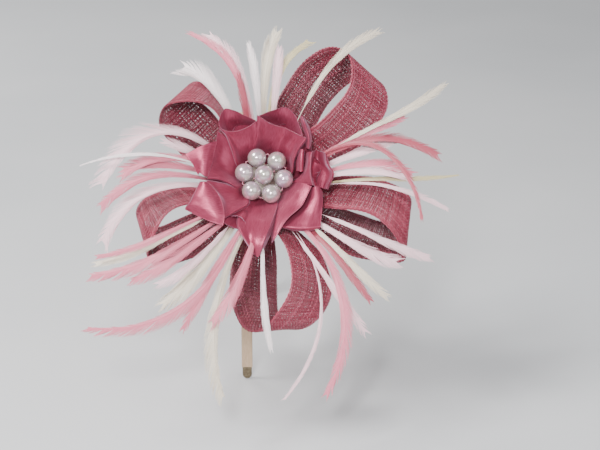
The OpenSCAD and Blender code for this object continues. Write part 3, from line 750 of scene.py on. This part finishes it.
# Each surface is rows of points [across, up, towards the front], from the pearls outwards.
PETALS = {
    "petal_top_front": (
        [
            [(-10, 4.5, -6), (-9, 7, -7), (-7.5, 8.5, -8), (-6, 10, -7), (-4, 11, -6)],
            [(-13.8, 6.5, -1), (-12, 9.5, -3), (-10, 11.5, -3.5), (-7.5, 13, -3), (-5, 14.5, -1)],
            [(-16, 13.6, 5), (-14, 15, 2.5), (-11, 16, 1.5), (-7.5, 18, 2), (-4.4, 20, 5)],
            [(-19, 21, 9.5), (-16.5, 20, 7), (-12, 20.5, 5.5), (-7.5, 22.5, 6.5), (-3.6, 24.5, 9)],
            [(-22.4, 24.8, 12), (-18.2, 23.5, 11), (-12.9, 24, 10), (-7.6, 26.1, 10.5), (-3.9, 28.6, 12)],
        ],
        [
            [(-20, 22, 7), (-17, 21, 1), (-12, 21, -1), (-7, 23, 1), (-4.5, 26, 7)],
            [(-22.4, 24.8, 11.6), (-19, 26, 4), (-14, 26.5, 2), (-8.5, 27.5, 5), (-4, 28.6, 11.6)],
            [(-23.6, 28.5, 12), (-20, 30.5, 7), (-15, 30.5, 6.5), (-9.5, 30, 9), (-4, 28.8, 12)],
            [(-22.4, 33, 11.5), (-20, 35.8, 9.5), (-15.5, 34.8, 10), (-10.2, 32.1, 11.5), (-4, 29, 12.4)],
        ],
    ),
    "petal_top": (
        [
            [(-4, 11, -6), (-1, 11.5, -8), (3, 11.5, -8), (6, 10, -6)],
            [(-5, 14.5, -1), (-1.5, 15, -3.5), (3, 14.5, -3.5), (7.4, 12.7, -1)],
            [(-3.6, 20, 5.5), (0.5, 19.5, 2), (5, 19, 1.5), (9, 17.5, 4)],
            [(-2.7, 26, 11), (1.5, 23.5, 6.5), (6, 22.5, 5.5), (11, 21.5, 8)],
            [(-2.3, 31.3, 14), (2.2, 28.2, 11.5), (6.5, 26.4, 10), (11.2, 25, 11)],
        ],
        [
            [(-2.5, 28, 9), (3, 24, 1), (9, 22, -1), (14, 21, 1), (19, 19, 7)],
            [(-2.3, 31.3, 13.4), (4, 28.5, 4), (10, 26.5, 2.5), (15, 24.5, 4.5), (20.4, 20.5, 11.5)],
            [(-2.3, 31.4, 13.8), (4.5, 31.8, 8.5), (11, 31.5, 7.5), (16, 28.5, 9), (20.4, 21, 12.4)],
            [(-2.3, 31.5, 14), (4.8, 34.4, 11.5), (11.8, 36, 11), (16.4, 32, 12), (20.3, 21.6, 13)],
        ],
    ),
    "petal_top_back": (
        [
            [(6, 10, -6), (9, 8, -8), (11, 4.5, -8), (11, 1, -6)],
            [(7.4, 12.7, -1), (10.5, 11, -3), (13, 7.5, -3), (14.8, 2, -0.5)],
            [(9, 17.5, 4), (12, 15, 1.5), (14, 11.5, 1.5), (15.5, 8, 5)],
            [(11, 21.5, 8), (14, 18.5, 4.5), (16.2, 16, 5.5), (17.8, 13.8, 10)],
            [(11.2, 25, 11), (15.5, 22.9, 9.5), (19, 21, 10), (22, 19.3, 13.5)],
        ],
        [
            [(15, 2, -1), (15.6, 3, -3), (16.6, 3, -5)],
            [(15.5, 8, 4.8), (16.8, 8, 1), (18.5, 8, -1)],
            [(17.8, 13.8, 9.8), (19.2, 13, 5), (20.5, 12.5, 2)],
            [(22, 19.3, 13.3), (22.3, 18, 9), (22.5, 17, 5)],
        ],
        [
            [(19.3, 31.5, 10), (20.3, 31.3, 13), (21.6, 30.5, 8)],
            [(20.4, 26, 10.5), (22, 26, 14), (24.2, 25.5, 8)],
            [(22, 20, 10), (23.6, 20, 13.5), (25.4, 19.5, 7)],
            [(22, 14.5, 8), (23.2, 13.8, 11), (24.4, 13, 6)],
        ],
        [
            [(17.2, 2.5, 3), (18.8, 2, 6.5), (20.4, 2, 6), (20.6, 3, 2)],
            [(17.4, 8, 5), (18.9, 8, 8.5), (20.8, 8, 8), (21.3, 8, 4)],
            [(18.4, 13.6, 6.5), (19.6, 13.8, 10), (21, 13.4, 9.5), (21.6, 13, 5)],
        ],
    ),
    "petal_back": (
        [
            [(25, 12, 13), (26.3, 12.8, 8), (28.4, 12.9, 5.5), (30.4, 12.4, 8), (32, 11.4, 12.5)],
            [(24.3, 7, 13), (25.2, 6.8, 5), (28, 6.5, 3.5), (31.4, 6.2, 5.5), (33, 5.6, 12.5)],
            [(23.9, 1, 13), (25, 0.5, 4.5), (28.6, 0, 4), (33.4, 0.2, 6.5), (35.4, 0.4, 12.5)],
            [(25.1, -5.6, 11), (26.4, -6, 6), (28.4, -6.6, 5), (30.6, -7.2, 6), (32.2, -7.6, 10)],
        ],
        [
            [(32, 11.4, 11), (33, 10, 9), (33.4, 9, 5)],
            [(33, 5.6, 10.4), (34.4, 5, 8.5), (34.8, 4, 4)],
            [(35.4, 0.4, 10.4), (36.6, 0, 8), (36.2, -1, 4)],
            [(32.2, -7.6, 10.4), (33.2, -7.8, 8), (33, -8, 4)],
        ],
        [
            [(22.2, 11.4, 7), (23.4, 12, 11), (25, 12, 13)],
            [(21.8, 6, 5), (23, 6.6, 11), (24.3, 7, 13)],
            [(19.4, 0, 3), (21.8, 0.8, 9), (23.9, 1, 13)],
            [(15, -3.6, -1), (20, -4, 5), (25.1, -5.6, 11)],
        ],
    ),
    "petal_low_back": (
        [
            [(12, -4, -5), (16.2, -4, 0), (20, -3.9, 7), (24.4, -6, 11.5)],
            [(10, -9.5, -3), (13.4, -9.6, 3.5), (17.6, -9.6, 8.5), (22.4, -10.2, 11)],
            [(6.8, -16.4, 2), (10, -16, 6.5), (14.4, -15.8, 9.5), (18.9, -16.4, 11.5)],
            [(4.8, -22.6, 6), (7, -22, 9), (9.8, -21.7, 11), (12.7, -21.7, 12)],
            [(4.1, -28.6, 9), (5.4, -27.8, 11), (7, -27.2, 12), (8.8, -26.4, 12.5)],
            [(3.9, -34.4, 11.4), (4.2, -34, 12), (4.5, -33.6, 12.4), (4.9, -33, 12.6)],
        ],
        [
            [(23.4, -8.4, 7), (25.4, -6.6, 11), (27.6, -6.1, 11.5), (30, -8.5, 8.5)],
            [(20, -13, 4), (23.6, -12.6, 9), (27.4, -12.6, 11.5), (30.2, -13.4, 9)],
            [(14.6, -19, 5), (19.6, -19.2, 9), (25, -19.4, 11.5), (29.6, -19, 9.4)],
            [(10, -24.4, 8), (15.4, -25, 11), (22, -25.4, 12.8), (28.8, -25, 11)],
            [(8.8, -26.8, 10), (15, -27.8, 12.4), (22, -28.2, 13), (28.4, -27.6, 11.4)],
            [(9.4, -27.8, 8), (15, -29.2, 9), (22, -29.6, 9), (28, -28.8, 8)],
        ],
    ),
    "petal_bottom": (
        [
            [(-8, -10, -5), (-3, -12, -7), (2, -12, -7), (7, -11, -5)],
            [(-11, -17, 1), (-6, -17, -2), (0.5, -17, -0.5), (6.6, -16.4, 3.5)],
            [(-13.6, -23, 6), (-9, -23.4, 3.5), (-2, -23.4, 6), (4.2, -22.6, 10)],
            [(-13, -28, 9.4), (-9, -29, 7.5), (-3.8, -30, 10), (1.2, -29.6, 13)],
            [(-10.4, -33.4, 10.4), (-8, -34.6, 9), (-4.8, -35.6, 11.5), (-1.3, -35.8, 13.6)],
            [(-5.8, -41.4, 10), (-5.2, -42, 10), (-4.4, -42.6, 11), (-3.4, -42, 12)],
        ],
        [
            [(-10, -9, -5), (-7, -10.5, -7), (-4, -11.5, -9)],
            [(-15, -15.5, 1), (-11, -16, -2.5), (-6, -17, -5)],
            [(-19.6, -20.6, 4.5), (-15, -21.4, 1.5), (-9.6, -22, 0)],
            [(-22, -24.4, 8.5), (-17.5, -27, 6.5), (-12, -28.6, 6)],
        ],
        [
            [(6.6, -16.4, 3.4), (7, -18, 0), (7, -19, -3)],
            [(4.2, -22.6, 9.8), (5.4, -24, 5), (5.4, -25, 1)],
            [(1.2, -29.6, 12.8), (2.6, -30.4, 8), (2.8, -31, 4)],
            [(-3.4, -42, 11.8), (-2.6, -41.6, 8), (-2.4, -41, 6)],
        ],
    ),
    "petal_low_front": (
        [
            [(-11, -4, -5), (-10.5, -6, -7), (-9.4, -8, -7), (-8, -10, -5)],
            [(-14.5, -6.3, 0.5), (-12.8, -9, -2.5), (-11.2, -12, -2.5), (-9.2, -14.6, 2)],
            [(-20, -5, 6.5), (-18, -9.4, 2.5), (-16, -14, 2.5), (-15, -17.8, 6.5)],
            [(-25.4, -3.8, 10), (-23, -8.6, 6.5), (-20.2, -14.4, 6.5), (-19.2, -20, 9)],
            [(-30, -3, 13), (-25.8, -7.6, 12), (-22.4, -13.8, 11.6), (-21.2, -21, 12)],
        ],
        [
            [(-30, -3, 13), (-25.8, -7.6, 12), (-22.4, -13.8, 11.6), (-21.2, -21, 12), (-22, -25.8, 11.5)],
            [
                (-31.4, -2.9, 14.2), (-28.8, -8.3, 14.6), (-26.8, -14.8, 14.4), (-25.8, -20.6, 13.6),
                (-26, -24.6, 12.4),
            ],
            [
                (-32.8, -2.9, 13.4), (-33, -9, 14.4), (-33, -15.2, 14.2), (-33, -19.2, 12.8),
                (-33.2, -21.6, 11.6),
            ],
            [(-33.8, -3, 11), (-36.2, -9, 12), (-38, -14, 12), (-38.8, -17, 11), (-39, -18.6, 10)],
            [(-33.6, -3.3, 8), (-37, -9.4, 8), (-40, -14.4, 8.4), (-41.4, -16.4, 8.4), (-41.6, -17.2, 8.4)],
        ],
    ),
    "petal_front": (
        [
            [(-10, 4.5, -7), (-11, 2, -8), (-11.5, -1, -8), (-10.5, -4, -6)],
            [(-13.2, 7.4, -3), (-14, 3, -4), (-14, -1, -3.5), (-13.5, -5.8, 0)],
            [(-16.4, 14, 2), (-18.5, 7.5, 0.5), (-19, 2, 1), (-18.6, -3.2, 5)],
            [(-20, 20, 6), (-22.5, 12.5, 4), (-24, 6, 4.5), (-24, -1, 9)],
            [(-24, 24, 9.5), (-25.8, 15, 9.5), (-27.4, 7, 10), (-29.7, -0.6, 13)],
        ],
        [
            [(-24.6, 18.4, 9.8), (-26, 13, 10), (-27.4, 7, 10.2), (-29.7, -0.6, 13)],
            [(-28.6, 17.4, 12.6), (-29.2, 12.6, 13.6), (-30.2, 7, 13.6), (-31.4, -0.2, 14)],
            [(-33.6, 15.4, 12.4), (-33.2, 11.8, 13.8), (-33.4, 7.6, 13.8), (-33.6, 1.6, 13)],
            [(-41.6, 11.6, 9.4), (-39.6, 9.2, 10.6), (-37.6, 6.6, 11), (-34.6, 0.6, 11)],
        ],
    ),
}
# Ribbon edges that show: the petal, a line of points, and whether it is a picot edge.
EDGES = [
    (
        "petal_top_front",
        [(-22.4, 24.8, 12), (-18.2, 23.5, 11), (-12.9, 24, 10), (-7.6, 26.1, 10.5), (-3.9, 28.6, 12)],
        False,
    ),
    ("petal_top", [(-2.3, 31.3, 14), (2.2, 28.2, 11.5), (6.5, 26.4, 10), (11.2, 25, 11)], False),
    ("petal_top_back", [(11.2, 25, 11), (15.5, 22.9, 9.5), (19, 21, 10), (22, 19.3, 13.5)], True),
    (
        "petal_low_back",
        [
            (24.4, -6, 11.5), (22.4, -10.2, 11), (18.9, -16.4, 11.5),
            (12.7, -21.7, 12), (8.8, -26.4, 12.5), (4.9, -33, 12.6),
        ],
        True,
    ),
    (
        "petal_low_front",
        [
            (-22, -25.8, 11.5), (-26, -24.6, 12.4), (-33.2, -21.6, 11.6),
            (-39, -18.6, 10), (-41.6, -17.2, 8.4),
        ],
        True,
    ),
    (
        "petal_low_front",
        [(-30, -3, 13), (-25.8, -7.6, 12), (-22.4, -13.8, 11.6), (-21.2, -21, 12), (-22, -25.8, 11.5)],
        False,
    ),
    ("petal_front", [(-29.7, -0.6, 13), (-27.4, 7, 10), (-26, 13, 10), (-24.6, 18.4, 9.8)], False),
    ("petal_back", [(25, 12, 13), (24.3, 7, 13), (23.9, 1, 13), (25.1, -5.6, 11)], False),
]

# Which sides of a petal's first surface roll over: the first column, the last, or both.
ROLLS = {
    "petal_top_front": (1, 1), "petal_top": (1, 1), "petal_top_back": (0, 1), "petal_back": (0, 0),
    "petal_low_back": (1, 0), "petal_bottom": (1, 0), "petal_low_front": (1, 1), "petal_front": (0, 1),
}


def rolled(rows, first, last, out=1.3, down=2.8):
    """Adds a column beyond a side, lower down, so that the ribbon rolls over its fold."""
    rows = np.asarray(rows, float)
    for side, on in ((0, first), (-1, last)):
        if on:
            edge = rows[:, side]
            away = (edge - rows[:, 1 if side == 0 else -2]) * [1, 1, 0]
            extra = edge + unit(away) * out - [0, 0, down]
            rows = np.concatenate([extra[:, None], rows] if side == 0 else [rows, extra[:, None]], 1)
    return rows


for name, surfaces in PETALS.items():
    b = Builder()
    for i, rows in enumerate(surfaces):
        cloth(b, patch(rolled(rows, *ROLLS[name]) if i == 0 else rows))
    for owner, line, picot in EDGES:
        if owner == name:
            selvedge(b, line, picot)
    obj = b.make("ribbon_" + name, [SATIN, SATIN_EDGE], space=lambda v: world(leaning(v)))
    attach(obj, "crown")
    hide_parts(name)


def under_rose():
    """The ribbon's gathered back, under the petals, from the stiff net out to the folds."""
    turn = np.linspace(0, 2 * math.pi, 241)
    line = spline([(11, 19.2), (14, 21.5), (17, 26), (20, 30), (24, 34.6), (29, 38)], 8)
    pleat = np.sin(turn * 13) + 0.4 * np.sin(turn * 7 + 1)
    share = np.linspace(0, 1, len(line))[:, None]
    r = line[:, :1] + share * 1.2 * pleat
    w = line[:, 1:] - share * 0.8 * pleat
    grid = np.stack([r * np.cos(turn), r * np.sin(turn), w + 0 * turn], -1)
    b = Builder()
    cloth(b, grid)
    obj = b.make("ribbon_back", [SATIN])
    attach(obj, "crown")
    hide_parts("rose_core")


under_rose()


# ---------- pad, tails and hidden parts ----------


def straw_tails():
    """The gathered loop tails: upright folds of straw, wound with thread."""
    radius, base, height = 11.6, 8.2, 9.4
    waist_at = 10.3

    def surface(u, v):
        turn = u / radius
        fold = 0.35 * np.sin(turn * 24) + 0.2 * np.sin(turn * 41 + 2)
        waist = 1 - 0.06 * np.exp(-((v + base - waist_at) / 1.2) ** 2)
        r = (radius + fold) * waist
        return np.stack([r * np.cos(turn), r * np.sin(turn), v + base], -1)

    b = Builder()
    weave(b, surface, 2 * math.pi * radius, height, hem=0.4)
    obj = b.make("straw_tails", STRAW)
    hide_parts("loop_tails")
    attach(obj, "crown")
    wound = Builder()
    turn = np.linspace(0, 8 * math.pi, 400)
    path = np.stack([11.5 * np.cos(turn), 11.5 * np.sin(turn), 9.6 + 0.35 * turn / (2 * math.pi)], -1)
    tube(wound, path, 0.2)
    obj = wound.make("tails_binding", [ROSE_THREAD])
    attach(obj, "crown")


straw_tails()
STRAW_FLAT = add_noise(
    plain("straw_cloth", srgb(186, 84, 104), rough=0.55), 500, srgb(160, 60, 80), srgb(204, 106, 126),
    bump=0.8, bump_scale=1400, stretch=(1, 3, 1),
)
for node, material in {
    "felt_pad": FELT, "glue_fillets": GLUE, "base_disc": STRAW_FLAT,
    "rose_backing": NET, "pearl_thread": THREAD,
    "spring_crown": STEEL, "spring_left": STEEL, "spring_right": STEEL,
}.items():
    obj = frame["nodes"][node]
    obj.data.materials.clear()
    obj.data.materials.append(material)


# ---------- stage, lights and camera ----------

low = min(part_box("tip_cap_left")[0][2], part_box("tip_cap_right")[0][2])


def stage_floor():
    """A plain pale floor, wide enough to fill the view behind the part."""
    b = Builder()
    half_side = 3.0
    edge = np.linspace(-half_side, half_side, 3)
    grid = np.array([[(x, y, low) for y in edge] for x in edge])
    b.add(grid, grid_quads(3, 3))
    paper = plain("stage_paper", srgb(222, 222, 223), rough=0.9)
    add_noise(paper, 3, srgb(196, 197, 199), srgb(206, 206, 207))
    obj = b.make("stage_floor", [paper], space=lambda v: v)


stage_floor()


def soft_light(name, energy, place, target, width):
    """A square studio light, width metres across, turned to face the target."""
    data = bpy.data.lights.new(name, "AREA")
    data.energy = energy
    data.size = width
    obj = bpy.data.objects.new(name, data)
    bpy.context.collection.objects.link(obj)
    obj.location = place
    obj.rotation_euler = (Vector(target) - Vector(place)).to_track_quat("-Z", "Y").to_euler()


FLOWER = world([0, 0, PEARL_RING_W])
AZ, EL, DIST = math.radians(87.7), math.radians(20), 0.9
toward = Vector((math.sin(AZ) * math.cos(EL), -math.cos(AZ) * math.cos(EL), math.sin(EL)))
cam_right = Vector((math.cos(AZ), math.sin(AZ), 0))
cam_up = toward.cross(cam_right)
aim = Vector(FLOWER) + cam_right * 0.019 - cam_up * 0.026
cam = bpy.data.cameras.new("camera")
cam.lens = 102
cam.sensor_width = 36
cam.clip_start = 0.01
camera = bpy.data.objects.new("camera", cam)
bpy.context.collection.objects.link(camera)
camera.location = aim + toward * DIST
camera.rotation_euler = (-toward).to_track_quat("-Z", "Y").to_euler()
bpy.context.scene.camera = camera

soft_light("key", 17, aim + toward * 0.55 - cam_right * 0.62 + cam_up * 0.7, aim, width=0.35)
soft_light("spark", 9, aim + toward * 0.9 - cam_right * 0.10 + cam_up * 0.16, aim, width=0.12)
soft_light("fill", 4, aim + toward * 0.7 + cam_right * 0.6 + cam_up * 0.2, aim, width=0.7)
behind = aim - toward * 1.0 - cam_right * 0.4
soft_light("wash", 7, aim - toward * 0.5 - cam_right * 0.7 + cam_up * 0.9, behind, width=0.6)

sky = bpy.data.worlds.new("studio")
bpy.context.scene.world = sky
sky.use_nodes = True
sky.node_tree.nodes["Background"].inputs["Color"].default_value = (0.92, 0.94, 0.97, 1)
sky.node_tree.nodes["Background"].inputs["Strength"].default_value = 0.44
